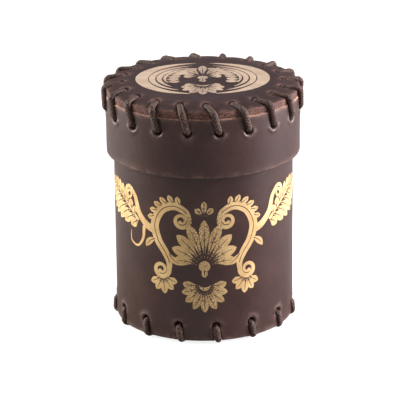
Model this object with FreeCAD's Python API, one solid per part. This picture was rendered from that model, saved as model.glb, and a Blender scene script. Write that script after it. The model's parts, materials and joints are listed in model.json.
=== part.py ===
"""Leather dice cup: a laced leather tube with a laced, lift-off lid. Millimetres, +Z up, front towards -Y."""

import FreeCAD
import Part

import math
import os

# ---- Driving dimensions -------------------------------------------------------------------------

LEATHER = 3.0  # thickness of the rolled walls
DISC = 3.3  # thickness of the two discs

CUP_OUTER_R = 42.6
CUP_HEIGHT = 102.7  # the wall's bottom edge to its rim
WALL_OFF_GROUND = 1.2  # the cup stands on its laces, which pass under the wall

LID_FIT = 0.4  # radial room between the cup's wall and the lid's skirt
LID_SEAT = 0.3  # room between the cup's rim and the lace runs that it seats on
SKIRT_HEIGHT = 28.7
RIM_DROP = 2.0  # how far the lacing pulls the lid's rim below its middle
DOME_START = 12.0  # width of the rounded border of the lid
DISC_SHORT = 0.25  # how far the lid's disc ends inside the skirt's face

LACE_R = 1.3
LACE_HOLE_ROOM = 0.5  # room round a lace in its hole
LACE_PULL = 0.3  # how far a tight lace lies off the middle of its hole
LACE_CLEAR = 0.1  # room between a lace and the leather it lies on
GROOVE_CLEAR = 0.17  # and the sides of a groove that it lies in
LACE_BEND = 1.7  # centreline radius where the lace turns through a hole
RIM_BEND = 1.9  # centreline radius where it turns over the lid's rim

LID_STITCHES = 20
LID_FIRST = -9.0  # degrees from the front, seen from above, positive to the right
LID_LEAN = 7.0  # degrees that a stitch leans from its lower hole to its upper one
LID_TOP_INSET = 7.4  # upper holes, in from the skirt's face
LID_HOLE_DROP = 6.4  # lace in the skirt's holes, below the disc
LID_LACE_SUNK = 0.6  # how deep the lace presses into the skirt
RIM_NICK = 0.9  # and into the disc's rim
TOP_NICK = 0.5  # and beside its upper holes

BASE_STITCHES = 15
BASE_FIRST = 7.0
BASE_LEAN = 4.0
BASE_HOLE_UP = 7.2  # wall holes above the bottom edge
BASE_INSET = 4.9  # disc holes, in from the edge of the disc
BASE_FIT = 0.1  # round the base disc
BASE_LACE_SUNK = 1.5  # how deep the lace presses into the wall
LACE_WORN = 0.15  # flat that the cup stands on, worn on the lace's underside

EDGE_ROUND = 0.6  # burnished edges
SLIT = 0.3  # gap of a butt seam
LACE_END_GAP = 0.4  # between the two ends of a lace

THREAD_R = 0.5
THREAD_HOLE_ROOM = 0.15
THREAD_BEND = 0.7
THREAD_PROUD = 0.72  # centreline above the leather's face
SEAM_HALF = 4.0  # stitch holes on each side of a seam
CUP_SEAM_AT = 187.0
CUP_SEAM_FROM = 14.0
CUP_SEAM_BELOW_LID = 4.0
CUP_SEAM_PITCH = 5.0
LID_SEAM_AT = 180.0
LID_SEAM_FROM = 3.6  # above the skirt's lower edge
LID_SEAM_PITCH = 4.4

# ---- What follows from them ---------------------------------------------------------------------

CUP_INNER_R = CUP_OUTER_R - LEATHER
SKIRT_INNER_R = CUP_OUTER_R + LID_FIT
LID_R = SKIRT_INNER_R + LEATHER

CUP_RIM = WALL_OFF_GROUND + CUP_HEIGHT
LID_LACE_Z = CUP_RIM + LID_SEAT + LACE_R  # lace where it passes through the skirt
SKIRT_TOP = LID_LACE_Z + LID_HOLE_DROP
SKIRT_BOTTOM = SKIRT_TOP - SKIRT_HEIGHT
LID_RIM_TOP = SKIRT_TOP + DISC
LID_TOP_HOLE_R = LID_R - LID_TOP_INSET
LID_DISC_R = LID_R - DISC_SHORT

BASE_LACE_Z = WALL_OFF_GROUND + BASE_HOLE_UP - LACE_PULL  # lace where it passes through the wall
BASE_BOTTOM = 2 * LACE_R - LACE_WORN + 0.15
BASE_TOP = BASE_BOTTOM + DISC
BASE_R = CUP_INNER_R - BASE_FIT
BASE_DISC_HOLE_R = BASE_R - BASE_INSET

LACE_HOLE_R = LACE_R + LACE_HOLE_ROOM
THREAD_HOLE_R = THREAD_R + THREAD_HOLE_ROOM
LACE_LIE = LACE_R + LACE_CLEAR  # lace centreline off the leather
GROOVE_R = LACE_R + GROOVE_CLEAR


def at(r, degrees, z):
    """The point at radius r, this far round from the front, at height z."""
    a = math.radians(degrees)
    return FreeCAD.Vector(r * math.sin(a), -r * math.cos(a), z)


def turned(shape, degrees):
    """A copy turned about the cup's axis, the same way that at() counts."""
    copy = shape.copy()
    copy.rotate(FreeCAD.Vector(0, 0, 0), FreeCAD.Vector(0, 0, 1), degrees)
    return copy


def ring(inner, outer, low, high):
    """A tube whose four edges are burnished round."""
    solid = Part.makeCylinder(outer, high - low, FreeCAD.Vector(0, 0, low))
    solid = solid.cut(Part.makeCylinder(inner, high - low + 2, FreeCAD.Vector(0, 0, low - 1)))
    circles = [e for e in solid.Edges if e.Curve.TypeId == "Part::GeomCircle"]
    return solid.makeFillet(min(EDGE_ROUND, 0.3 * (outer - inner)), circles)


def rod(start, end, radius, past):
    """A cylinder on the line from start to end, running this far past both."""
    along = (end - start).normalize()
    return Part.makeCylinder(radius, (end - start).Length + 2 * past, start - along * past, along)


def slit(degrees, inner, outer, low, high):
    """The gap of a butt seam, from inside the tube to outside it."""
    gap = Part.makeBox(SLIT, outer - inner + 4, high - low + 2)
    gap.translate(FreeCAD.Vector(-SLIT / 2, -outer - 2, low - 1))
    return turned(gap, degrees)


def rounded_route(points, bends):
    """Straight runs through the points, joined by tangent arcs; bends has a radius for each inner point."""
    edges = []
    here = points[0]
    for before, corner, after, bend in zip(points, points[1:], points[2:], bends):
        arrive = (corner - before).normalize()
        leave = (after - corner).normalize()
        turn = arrive.getAngle(leave)
        back = bend * math.tan(turn / 2)
        first = corner - arrive * back
        last = corner + leave * back
        inward = (leave - arrive).normalize()
        middle = corner + inward * (bend / math.cos(turn / 2) - bend)
        edges.append(Part.LineSegment(here, first).toShape())
        edges.append(Part.Arc(first, middle, last).toShape())
        here = last
    edges.append(Part.LineSegment(here, points[-1]).toShape())
    return Part.Wire(edges)


def tube(wire, radius):
    """A round cord along a route."""
    start = wire.Edges[0]
    along = start.tangentAt(start.FirstParameter)
    circle = Part.Wire(Part.makeCircle(radius, start.valueAt(start.FirstParameter), along))
    sweep = Part.BRepOffsetAPI.MakePipeShell(wire)
    sweep.setFrenetMode(False)
    sweep.add(circle, False, False)
    sweep.build()
    sweep.makeSolid()
    return sweep.shape()


def between(a, b, share):
    return a + (b - a) * share


def smallest_bend(name, bends):
    print(f"{name}: bend radii {sorted(set(round(b, 2) for b in bends))}")


def report_cord(name, solid, wire, radius):
    """Prints how a cord's volume compares with its section times its length."""
    expected = math.pi * radius**2 * wire.Length
    print(f"{name}: volume {solid.Volume:.1f}, section x length {expected:.1f}")


def laced_round(name, stitches, first, route, bends):
    """A lace of equal stitches all the way round, cut in one inner run, where its two ends meet."""
    step = 360.0 / stitches
    wire = rounded_route(route, bends)
    one = tube(wire, LACE_R)
    report_cord(name + " stitch", one, wire, LACE_R)
    smallest_bend(name, bends)
    copies = [turned(one, first + step * k) for k in range(stitches)]
    whole = copies[0].multiFuse(copies[1:]).removeSplitter()
    run = route[1] - route[0]
    gap = Part.makeCylinder(LACE_R + 0.5, LACE_END_GAP, route[0] - run.normalize() * (LACE_END_GAP / 2), run)
    back = first + step * round((180.0 - first) / step)
    return whole.cut(turned(gap, back)).Solids[0]


# ---- Lid lace -----------------------------------------------------------------------------------

LID_STEP = 360.0 / LID_STITCHES
DOME_R = (DOME_START**2 + RIM_DROP**2) / (2 * RIM_DROP)
LID_MIDDLE_TOP = LID_RIM_TOP + RIM_DROP


def lid_surface(r):
    """Height of the lid's upper face at radius r."""
    out = max(0.0, r - (LID_DISC_R - DOME_START))
    return LID_MIDDLE_TOP - (DOME_R - math.sqrt(DOME_R**2 - out**2))


lid_out_r = LID_R + LACE_LIE - LID_LACE_SUNK
lid_in_r = SKIRT_INNER_R - LACE_LIE
lid_over_z = lid_surface(LID_TOP_HOLE_R) + LACE_LIE - TOP_NICK
lid_under_z = SKIRT_TOP - 2 * LACE_CLEAR
rim_lean = LID_LEAN * 0.49

lid_hole_inside = at(lid_in_r, 0, LID_LACE_Z)
lid_hole_outside = at(lid_out_r, 0, LID_LACE_Z)
lid_rim_corner = at(lid_out_r, -rim_lean, LID_RIM_TOP + RIM_BEND * 0.8 - RIM_NICK)
lid_top_hole = at(LID_TOP_HOLE_R, -LID_LEAN, lid_over_z)
lid_under_hole = at(LID_TOP_HOLE_R, -LID_LEAN, lid_under_z)
lid_next_inside = at(lid_in_r, -LID_STEP, LID_LACE_Z)
lid_before_under = at(LID_TOP_HOLE_R, LID_STEP - LID_LEAN, lid_under_z)

lid_route = [
    between(lid_before_under, lid_hole_inside, 0.5),
    lid_hole_inside,
    lid_hole_outside,
    lid_rim_corner,
    lid_top_hole,
    lid_under_hole,
    between(lid_under_hole, lid_next_inside, 0.5),
]
lid_bends = [LACE_BEND, LACE_BEND, RIM_BEND, LACE_BEND, LACE_BEND]
lid_lace = laced_round("lid_lace", LID_STITCHES, LID_FIRST, lid_route, lid_bends)

# ---- Base lace ----------------------------------------------------------------------------------

BASE_STEP = 360.0 / BASE_STITCHES
base_out_r = CUP_OUTER_R + LACE_LIE - BASE_LACE_SUNK
base_in_r = CUP_INNER_R - LACE_LIE
base_low_z = LACE_R - LACE_WORN
base_edge_lean = BASE_LEAN * 0.375

base_hole_inside = at(base_in_r, 0, BASE_LACE_Z)
base_hole_outside = at(base_out_r, 0, BASE_LACE_Z)
base_edge_corner = at(base_out_r, base_edge_lean, base_low_z)
base_disc_below = at(BASE_DISC_HOLE_R, BASE_LEAN, base_low_z)
base_disc_above = at(BASE_DISC_HOLE_R, BASE_LEAN, BASE_TOP + LACE_LIE)
base_next_inside = at(base_in_r, BASE_STEP, BASE_LACE_Z)
base_before_above = at(BASE_DISC_HOLE_R, BASE_LEAN - BASE_STEP, BASE_TOP + LACE_LIE)

base_route = [
    between(base_before_above, base_hole_inside, 0.5),
    base_hole_inside,
    base_hole_outside,
    base_edge_corner,
    base_disc_below,
    base_disc_above,
    between(base_disc_above, base_next_inside, 0.5),
]
base_bends = [LACE_BEND] * 5
cup_base_lace = laced_round("cup_base_lace", BASE_STITCHES, BASE_FIRST, base_route, base_bends)
worn = Part.makeCylinder(2 * CUP_OUTER_R, LACE_R, FreeCAD.Vector(0, 0, -LACE_R))
cup_base_lace = cup_base_lace.cut(worn).Solids[0]
stand = turned(Part.Vertex(between(base_edge_corner, base_disc_below, 0.5)), BASE_FIRST).Point
print(f"stand: x {stand.x:.3f}, y {stand.y:.3f}, z 0.000")

# ---- Seam threads -------------------------------------------------------------------------------


def seam_thread(name, degrees, outer, heights):
    """A thread that crosses a butt seam over the face and comes back through the thickness of the leather."""
    spread = math.degrees(SEAM_HALF / outer)
    proud = outer + THREAD_PROUD
    deep = outer - LEATHER / 2
    points = [at(deep, degrees, heights[0])]
    for z, above in zip(heights, heights[1:]):
        points.append(at(deep, degrees - spread, z))
        points.append(at(proud, degrees - spread, z))
        points.append(at(proud, degrees, (z + above) / 2))
        points.append(at(proud, degrees + spread, above))
        points.append(at(deep, degrees + spread, above))
    points.append(at(deep, degrees, heights[-1]))
    bends = [THREAD_BEND] * (len(points) - 2)
    wire = rounded_route(points, bends)
    solid = tube(wire, THREAD_R)
    report_cord(name, solid, wire, THREAD_R)
    return solid, tube(wire, THREAD_HOLE_R)


def heights(low, high, pitch):
    count = int((high - low) / pitch + 1e-6) + 1
    return [low + pitch * k for k in range(count)]


seam_low = WALL_OFF_GROUND + CUP_SEAM_FROM
cup_heights = heights(seam_low, SKIRT_BOTTOM - CUP_SEAM_BELOW_LID, CUP_SEAM_PITCH)
cup_seam_thread, cup_seam_channel = seam_thread("cup_seam_thread", CUP_SEAM_AT, CUP_OUTER_R, cup_heights)

lid_seam_low = SKIRT_BOTTOM + LID_SEAM_FROM
lid_seam_high = LID_LACE_Z - LACE_PULL - LACE_HOLE_R - THREAD_R - 1.0
lid_heights = heights(lid_seam_low, lid_seam_high, LID_SEAM_PITCH)
lid_seam_thread, lid_seam_channel = seam_thread("lid_seam_thread", LID_SEAM_AT, LID_R, lid_heights)

# ---- Leather ------------------------------------------------------------------------------------


def round_the_back(tool, stitches, first):
    """The same tool at each stitch."""
    return [turned(tool, first + 360.0 / stitches * k) for k in range(stitches)]


def shifted(tool, degrees, r, z):
    """The tool moved by r away from the axis, in this direction, and by z up."""
    return tool.translated(at(r, degrees, z))


def cut_each(leather, tools):
    """The leather less each tool, one after another."""
    for tool in tools:
        leather = leather.cut(tool)
    return leather


base_wall_hole = rod(base_hole_inside, base_hole_outside, LACE_HOLE_R, 1.0)
base_groove_down = rod(base_hole_outside, base_edge_corner, GROOVE_R, 0.9)
base_groove_under = rod(base_edge_corner, base_disc_below, GROOVE_R + 0.02, 1.5)
wall_tools = round_the_back(shifted(base_wall_hole, 0, 0, LACE_PULL), BASE_STITCHES, BASE_FIRST)
wall_tools += round_the_back(base_groove_down, BASE_STITCHES, BASE_FIRST)
wall_tools += round_the_back(base_groove_under, BASE_STITCHES, BASE_FIRST)
wall_tools += [slit(CUP_SEAM_AT, CUP_INNER_R, CUP_OUTER_R, WALL_OFF_GROUND, CUP_RIM), cup_seam_channel]
cup_wall = cut_each(ring(CUP_INNER_R, CUP_OUTER_R, WALL_OFF_GROUND, CUP_RIM), wall_tools)

cup_base = Part.makeCylinder(BASE_R, BASE_TOP - BASE_BOTTOM, FreeCAD.Vector(0, 0, BASE_BOTTOM))
base_hole = rod(base_disc_below, base_disc_above, LACE_HOLE_R, 3.0)
cup_base = cup_base.cut(round_the_back(base_hole, BASE_STITCHES, BASE_FIRST))

lid_groove_up = rod(lid_hole_outside, lid_rim_corner, GROOVE_R, 0.9)
lid_groove_over = rod(lid_rim_corner, lid_top_hole, GROOVE_R + 0.02, 0.9)
lid_grooves = round_the_back(lid_groove_up, LID_STITCHES, LID_FIRST)
lid_grooves += round_the_back(lid_groove_over, LID_STITCHES, LID_FIRST)
skirt_hole = rod(lid_hole_inside, lid_hole_outside, LACE_HOLE_R, 1.0)
skirt_tools = round_the_back(shifted(skirt_hole, 0, 0, -LACE_PULL), LID_STITCHES, LID_FIRST)
skirt_tools += [slit(LID_SEAM_AT, SKIRT_INNER_R, LID_R, SKIRT_BOTTOM, SKIRT_TOP), lid_seam_channel]
skirt_tools += lid_grooves
lid_skirt = cut_each(ring(SKIRT_INNER_R, LID_R, SKIRT_BOTTOM, SKIRT_TOP), skirt_tools)

dome_from = LID_DISC_R - DOME_START
dome_half = dome_from + DOME_START / 2
axis_top = FreeCAD.Vector(0, 0, LID_MIDDLE_TOP)
axis_bottom = FreeCAD.Vector(0, 0, LID_MIDDLE_TOP - DISC)
dome_top = FreeCAD.Vector(dome_from, 0, LID_MIDDLE_TOP)
dome_mid = FreeCAD.Vector(dome_half, 0, lid_surface(dome_half))
rim_top = FreeCAD.Vector(LID_DISC_R, 0, LID_RIM_TOP)
rim_bottom = FreeCAD.Vector(LID_DISC_R, 0, SKIRT_TOP)
land_inner = FreeCAD.Vector(SKIRT_INNER_R - 1.0, 0, SKIRT_TOP)
dome_bottom = FreeCAD.Vector(dome_from + 2.0, 0, LID_MIDDLE_TOP - DISC)
profile = Part.Wire(
    [
        Part.LineSegment(axis_bottom, axis_top).toShape(),
        Part.LineSegment(axis_top, dome_top).toShape(),
        Part.Arc(dome_top, dome_mid, rim_top).toShape(),
        Part.LineSegment(rim_top, rim_bottom).toShape(),
        Part.LineSegment(rim_bottom, land_inner).toShape(),
        Part.LineSegment(land_inner, dome_bottom).toShape(),
        Part.LineSegment(dome_bottom, axis_bottom).toShape(),
    ]
)
lid_top = Part.Face(profile).revolve(FreeCAD.Vector(0, 0, 0), FreeCAD.Vector(0, 0, 1), 360)
top_hole = shifted(rod(lid_under_hole, lid_top_hole, LACE_HOLE_R, 3.0), -LID_LEAN, -LACE_PULL, 0)
lid_top = cut_each(lid_top, round_the_back(top_hole, LID_STITCHES, LID_FIRST) + lid_grooves)

# ---- One file for each piece --------------------------------------------------------------------

os.makedirs("parts", exist_ok=True)
pieces = {
    "cup_wall": cup_wall,
    "cup_base": cup_base,
    "cup_base_lace": cup_base_lace,
    "cup_seam_thread": cup_seam_thread,
    "lid_skirt": lid_skirt,
    "lid_top": lid_top,
    "lid_lace": lid_lace,
    "lid_seam_thread": lid_seam_thread,
}
for name, shape in pieces.items():
    solids = shape.Solids
    if len(solids) != 1 or not solids[0].isValid():
        raise ValueError(f"{name} has {len(solids)} solids, valid {[s.isValid() for s in solids]}")
    solids[0].exportStep(f"parts/{name}.step")
    box = solids[0].BoundBox
    print(f"{name}: {solids[0].Volume:.0f} mm3, z {box.ZMin:.2f} to {box.ZMax:.2f}, r {box.XMax:.2f}")
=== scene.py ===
import json
import math
import random

import bmesh
import bpy
from mathutils import Matrix, Vector, kdtree, noise
from mathutils.geometry import delaunay_2d_cdt

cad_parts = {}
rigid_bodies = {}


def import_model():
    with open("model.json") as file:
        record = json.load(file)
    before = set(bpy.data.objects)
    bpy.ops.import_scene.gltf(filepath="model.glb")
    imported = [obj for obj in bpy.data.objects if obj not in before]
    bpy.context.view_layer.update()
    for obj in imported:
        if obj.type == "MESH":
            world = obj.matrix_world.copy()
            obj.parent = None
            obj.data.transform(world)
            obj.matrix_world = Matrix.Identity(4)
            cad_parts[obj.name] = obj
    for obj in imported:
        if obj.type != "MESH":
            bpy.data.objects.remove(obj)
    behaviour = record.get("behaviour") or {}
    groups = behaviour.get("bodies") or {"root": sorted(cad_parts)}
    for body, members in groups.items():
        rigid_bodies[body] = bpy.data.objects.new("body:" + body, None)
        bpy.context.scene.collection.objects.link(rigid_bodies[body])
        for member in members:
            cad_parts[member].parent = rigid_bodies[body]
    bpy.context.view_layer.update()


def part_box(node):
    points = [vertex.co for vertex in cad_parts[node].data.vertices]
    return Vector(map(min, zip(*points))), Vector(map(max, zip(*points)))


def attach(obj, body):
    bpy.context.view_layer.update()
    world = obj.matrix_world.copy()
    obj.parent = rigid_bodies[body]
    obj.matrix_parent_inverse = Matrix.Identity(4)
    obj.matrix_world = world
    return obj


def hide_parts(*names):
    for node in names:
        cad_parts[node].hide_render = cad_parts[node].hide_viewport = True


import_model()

# ---- Sizes, in millimetres ----------------------------------------------------------------------


def high(node):
    """The highest corner of a frame piece, in millimetres."""
    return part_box(node)[1] * 1000


def low(node):
    """The lowest corner of a frame piece, in millimetres."""
    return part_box(node)[0] * 1000


CUP_R = high("cup_wall").x
CUP_LOW = low("cup_wall").z
CUP_RIM = high("cup_wall").z
LID_R = high("lid_skirt").x
SKIRT_LOW = low("lid_skirt").z
SKIRT_TOP = high("lid_skirt").z
LID_MIDDLE = high("lid_top").z
BASE_R = high("cup_base").x
BASE_LOW = low("cup_base").z
BASE_TOP = high("cup_base").z

WALL = 3.0
DISC = 3.3
SEAM_GAP = 0.3  # between the two ends of a rolled wall
RIM_DROP = 2.0  # how far the lid's rim is drawn below its middle
RIM_BORDER = 12.0  # over this width
DOME_R = (RIM_BORDER**2 + RIM_DROP**2) / (2 * RIM_DROP)
DISC_INSET = 0.25  # the disc is cut a little smaller than the skirt it lies on

LACE_WIDE = 1.45  # half the width of a lace, which is pressed a little flat
LACE_DEEP = 1.17  # half its depth
LACE_PULL = 0.65  # how far a tight lace lies off the middle of its hole
LACE_SWELL = 0.13  # how much fuller a lace is outside than in its holes
LACE_STRANDS = 5
LACE_PITCH = 8.0  # length of one turn of a strand
STITCH_POINTS = 5  # corners in one stitch of a lace
HOLE_R = 2.2
GROOVE_HALF = 1.42  # half the width of the groove under a lace

LID_STITCHES = 20
LID_FIRST = -9.0  # degrees from the front, seen from above
LID_LEAN = 7.0  # degrees that a stitch leans from its lower hole to its upper one
LID_LEAN_AT_RIM = 0.49  # share of its lean that a stitch has taken at the rim
LID_BENDS = (1.6, 1.7, 1.9, 1.6, 1.6)  # radius of each of its turns
LID_LACE_Z = SKIRT_TOP - 6.4
LID_HOLE_Z = LID_LACE_Z - LACE_PULL
LID_HOLE_R = LID_R - 7.4
LID_DISC_R = LID_R - DISC_INSET
LID_LACE_R = high("lid_lace").y - LACE_DEEP

BASE_STITCHES = 15
BASE_FIRST = 7.0
BASE_LEAN = 4.0
BASE_LEAN_AT_EDGE = 0.375  # share of its lean that a stitch has taken at the wall's bottom edge
BASE_BENDS = (1.6, 1.6, 1.7, 1.6, 1.6)  # radius of each of its turns
BASE_HOLE_Z = CUP_LOW + 7.4
BASE_HOLE_R = BASE_R - 4.9
BASE_LACE_R = high("cup_base_lace").y - LACE_DEEP

CUP_SEAM = 187.0  # degrees round from the front
LID_SEAM = 180.0
SEAM_HALF = 4.0  # from a seam to the thread holes on each side of it
THREAD_R = 0.5
THREAD_PROUD = 0.6  # its middle line, off the leather's face
THREAD_BEND = 0.7
THREAD_STRANDS = 3
THREAD_PITCH = 2.6

FOIL_PROUD = 0.05  # its upper side, over the leather's face
FOIL_SUNK = 0.03  # its under side, in the leather
FOIL_GRID = 1.2  # it is laid on the leather in cells of this size


def at(r, degrees, z):
    """The point at radius r, this far round from the front, at height z."""
    a = math.radians(degrees)
    return Vector((r * math.sin(a), -r * math.cos(a), z))


def degree(r):
    """The length of one degree at this radius."""
    return r * math.pi / 180


def smooth(low_end, high_end, x):
    """0 below the low end, 1 above the high end, and an S between them."""
    t = min(1.0, max(0.0, (x - low_end) / (high_end - low_end)))
    return t * t * (3 - 2 * t)


def bell(x, width):
    """1 at 0, fading to nothing a few widths away."""
    return math.exp(-((x / width) ** 2))


def nearest_turn(degrees, first, count):
    """How far this angle is from the nearest of count equal steps, in degrees."""
    step = 360.0 / count
    return (degrees - first + step / 2) % step - step / 2


# ---- Flat patterns ------------------------------------------------------------------------------

GRAIN_SIDE, RUBBED_EDGE, FLESH_SIDE, RAW_DISC_EDGE, RAW_SKIRT_EDGE_PAINTED_HIGHLIGHT = range(5)  # slots of a leather piece

HOLE_RINGS = (0.3, 0.6, 0.82, 0.94, 1.0)  # how far each ring has closed in on its hole
EDGE_STEPS = 4  # rows in each rounded corner of an edge
EDGE_BELLY = 1.06  # how much further out the middle of an edge is than its corners
RIM_FADE = 0.9  # how far the wear and painted highlight of an edge reach


class Pattern:
    """A flat piece of leather, as a grid of points that can be pierced, before it is given thickness."""

    def __init__(self, columns, rows, place, closed):
        self.points = []
        self.faces = []
        self.closed = closed
        self.ids = [[self.point(place(u, v)) for v in rows] for u in columns]
        self.skip = set()
        self.wide = len(columns)
        self.tall = len(rows)

    def point(self, xy):
        self.points.append(Vector(xy))
        return len(self.points) - 1

    def border_of_block(self, i0, i1, j0, j1):
        """The points round a block of cells, in order."""
        side = [(i, j0) for i in range(i0, i1)]
        side += [(i1, j) for j in range(j0, j1)]
        side += [(i, j1) for i in range(i1, i0, -1)]
        side += [(i0, j) for j in range(j1, j0, -1)]
        return [self.ids[i % self.wide][j] for i, j in side]

    def pierce(self, i0, i1, j0, j1, centre, radius):
        """Swaps a block of cells for rings that close in on a hole."""
        centre = Vector(centre)
        border = self.border_of_block(i0, i1, j0, j1)
        self.skip |= {(i % self.wide, j) for i in range(i0, i1) for j in range(j0, j1)}
        before = border
        for share in HOLE_RINGS:
            ring = []
            for k in border:
                away = (self.points[k] - centre).normalized()
                ring.append(self.point(self.points[k].lerp(centre + away * radius, share)))
            self.join(before, ring)
            before = ring

    def join(self, a, b):
        """Faces between two rings of points."""
        for k in range(len(a)):
            n = (k + 1) % len(a)
            self.faces.append((a[k], a[n], b[n], b[k]))

    def close_middle(self, centre):
        """Fills the inside of a round pattern's first row."""
        middle = self.point(centre)
        for i in range(self.wide):
            self.faces.append((middle, self.ids[(i + 1) % self.wide][0], self.ids[i][0]))

    def cells(self):
        """The faces of the grid, apart from its pierced blocks."""
        last = self.wide if self.closed else self.wide - 1
        for i in range(last):
            for j in range(self.tall - 1):
                if (i, j) not in self.skip:
                    a, b = self.ids[i], self.ids[(i + 1) % self.wide]
                    self.faces.append((a[j], b[j], b[j + 1], a[j + 1]))


def thicken(name, pattern, thickness, rounding, bend, slots, edge_slot):
    """Gives a flat pattern its thickness and rounded edges, and bends it into place.

    bend(x, y, depth) places a point, and edge_slot(x, y, row) picks the slot of a face of a cut edge.
    """
    pattern.cells()
    flat = bmesh.new()
    verts = [flat.verts.new((p.x, p.y, 0)) for p in pattern.points]
    flat.verts.ensure_lookup_table()
    for face in pattern.faces:
        flat.faces.new([verts[k] for k in face])
    bmesh.ops.recalc_face_normals(flat, faces=flat.faces)
    bmesh.ops.delete(flat, geom=[v for v in flat.verts if not v.link_faces], context="VERTS")
    flat.verts.index_update()

    solid = bmesh.new()
    upper = {v: solid.verts.new(bend(v.co.x, v.co.y, 0.0)) for v in flat.verts}
    under = {v: solid.verts.new(bend(v.co.x, v.co.y, thickness)) for v in flat.verts}
    for face in flat.faces:
        solid.faces.new([upper[v] for v in face.verts]).material_index = GRAIN_SIDE
        solid.faces.new([under[v] for v in reversed(face.verts)]).material_index = FLESH_SIDE

    rows = edge_profile(thickness, rounding)
    columns = {}
    for v in (v for v in flat.verts if v.is_boundary):
        out = outward(v)
        between = [solid.verts.new(bend(v.co.x + out.x * a, v.co.y + out.y * a, w)) for a, w in rows]
        columns[v] = [upper[v], *between, under[v]]
    for edge in (e for e in flat.edges if e.is_boundary):
        a, b = (columns[v] for v in edge.verts)
        middle = (edge.verts[0].co + edge.verts[1].co) / 2
        for k in range(len(a) - 1):
            face = solid.faces.new((a[k], b[k], b[k + 1], a[k + 1]))
            face.material_index = edge_slot(middle.x, middle.y, k)
    bmesh.ops.recalc_face_normals(solid, faces=solid.faces)
    rims = [column[0].co / 1000 for column in columns.values()]
    piece = as_piece(name, solid, slots)
    mark_edges(piece, rims)
    flat.free()
    solid.free()
    return piece


def edge_profile(thickness, rounding):
    """How far out and how deep each row of a rounded edge lies, from one face to the other."""
    quarter = [math.pi / 2 * k / EDGE_STEPS for k in range(1, EDGE_STEPS + 1)]
    first = [(rounding * math.sin(a), rounding * (1 - math.cos(a))) for a in quarter]
    middle = [(rounding * EDGE_BELLY, thickness / 2)]
    last = [(out, thickness - deep) for out, deep in reversed(first)]
    return first + middle + last


def outward(v):
    """The direction in the plane away from the leather at a border point, longer at a corner."""
    total = Vector((0, 0, 0))
    for edge in (e for e in v.link_edges if e.is_boundary):
        face = edge.link_faces[0]
        along = edge.verts[1].co - edge.verts[0].co
        side = Vector((along.y, -along.x, 0)).normalized()
        away = (edge.verts[0].co + edge.verts[1].co) / 2 - face.calc_center_median()
        total += side if side.dot(away) > 0 else -side
    return total.normalized() * min(1.42, 2 / max(0.7, total.length))


def as_piece(name, solid, slots):
    """A mesh object in metres from a bmesh in millimetres."""
    bmesh.ops.scale(solid, vec=(0.001, 0.001, 0.001), verts=solid.verts)
    mesh = bpy.data.meshes.new(name)
    solid.to_mesh(mesh)
    mesh.shade_smooth()
    for finish in slots:
        mesh.materials.append(finish)
    piece = bpy.data.objects.new(name, mesh)
    bpy.context.scene.collection.objects.link(piece)
    return piece


def mark_edges(piece, near):
    """Stores how near each point is to a cut edge, where the grain is rubbed and a highlight is painted."""
    tree = kdtree.KDTree(len(near))
    for k, p in enumerate(near):
        tree.insert(p, k)
    tree.balance()
    mark = piece.data.attributes.new("rim", "FLOAT", "POINT")
    for vertex, value in zip(piece.data.vertices, mark.data):
        value.value = math.exp(-tree.find(vertex.co)[2] * 1000 / RIM_FADE)


# ---- Leather pieces -----------------------------------------------------------------------------

FINE = 16  # cells across the fine block round a hole
HALF_BLOCK = 3.3  # half the width of that block
WALL_COARSE = 5  # cells from a block to halfway to the next
DISC_COARSE = 3


def spaced(count, first, seam, coarse, scale):
    """Column angles of a wall from its seam round, fine about each stitch and coarse between."""
    step = 360.0 / count
    block = HALF_BLOCK / scale
    side = step / 2 - block
    shares = [-step / 2 + side * k / coarse for k in range(coarse)]
    shares += [-block + 2 * block * k / FINE for k in range(FINE)]
    shares += [block + side * k / coarse for k in range(coarse)]
    start = first - step * round((first - seam - step / 2) / step + 1e-9)
    angles = [start + step * n + s for n in range(count) for s in shares]
    return angles, start


def steps(a, b, count):
    """Even steps from a towards b, which is left out."""
    return [a + (b - a) * k / count for k in range(count)]


def wall_pattern(radius, seam, stitches, first, rows, hole_row, hole_z, rounding):
    """A strip that is rolled into a tube, with a hole at each stitch and its ends at the seam."""
    scale = degree(radius)
    angles, start = spaced(stitches, first, seam, WALL_COARSE, scale)
    angles.append(angles[0] + 360.0)
    squeeze = (SEAM_GAP / 2 + rounding) / scale
    angles[0] += squeeze
    angles[-1] -= squeeze
    pattern = Pattern(angles, rows, lambda u, v: (u * scale, v), False)
    for n in range(stitches):
        i0 = n * (FINE + 2 * WALL_COARSE) + WALL_COARSE
        centre = ((start + 360.0 / stitches * n) * scale, hole_z)
        pattern.pierce(i0, i0 + FINE, hole_row, hole_row + FINE, centre, HOLE_R + rounding * 0.6)
    return pattern


def disc_pattern(stitches, first, hole_r, rim_r, rounding):
    """A round disc with a hole at each stitch."""
    angles, start = spaced(stitches, first, first, DISC_COARSE, degree(hole_r))
    inner = steps(1.2, hole_r - HALF_BLOCK, 26)
    block = steps(hole_r - HALF_BLOCK, hole_r + HALF_BLOCK, FINE)
    outer = steps(hole_r + HALF_BLOCK, rim_r - rounding, 4) + [rim_r - rounding]
    pattern = Pattern(angles, inner + block + outer, lambda u, v: at(v, u, 0).xy, True)
    for n in range(stitches):
        i0 = n * (FINE + 2 * DISC_COARSE) + DISC_COARSE
        centre = at(hole_r, start + 360.0 / stitches * n, 0).xy
        pattern.pierce(i0, i0 + FINE, len(inner), len(inner) + FINE, centre, HOLE_R + rounding)
    pattern.close_middle((0, 0))
    return pattern


def sway(x, y, z, size, seed):
    """Slow unevenness, from -1 to 1, that repeats over about this many millimetres."""
    return noise.noise(Vector((x / size + seed, y / size, z / size)))


def snug(across, half):
    """1 under a lace and 0 beside it."""
    return math.exp(-((across / half) ** 4))


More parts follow.
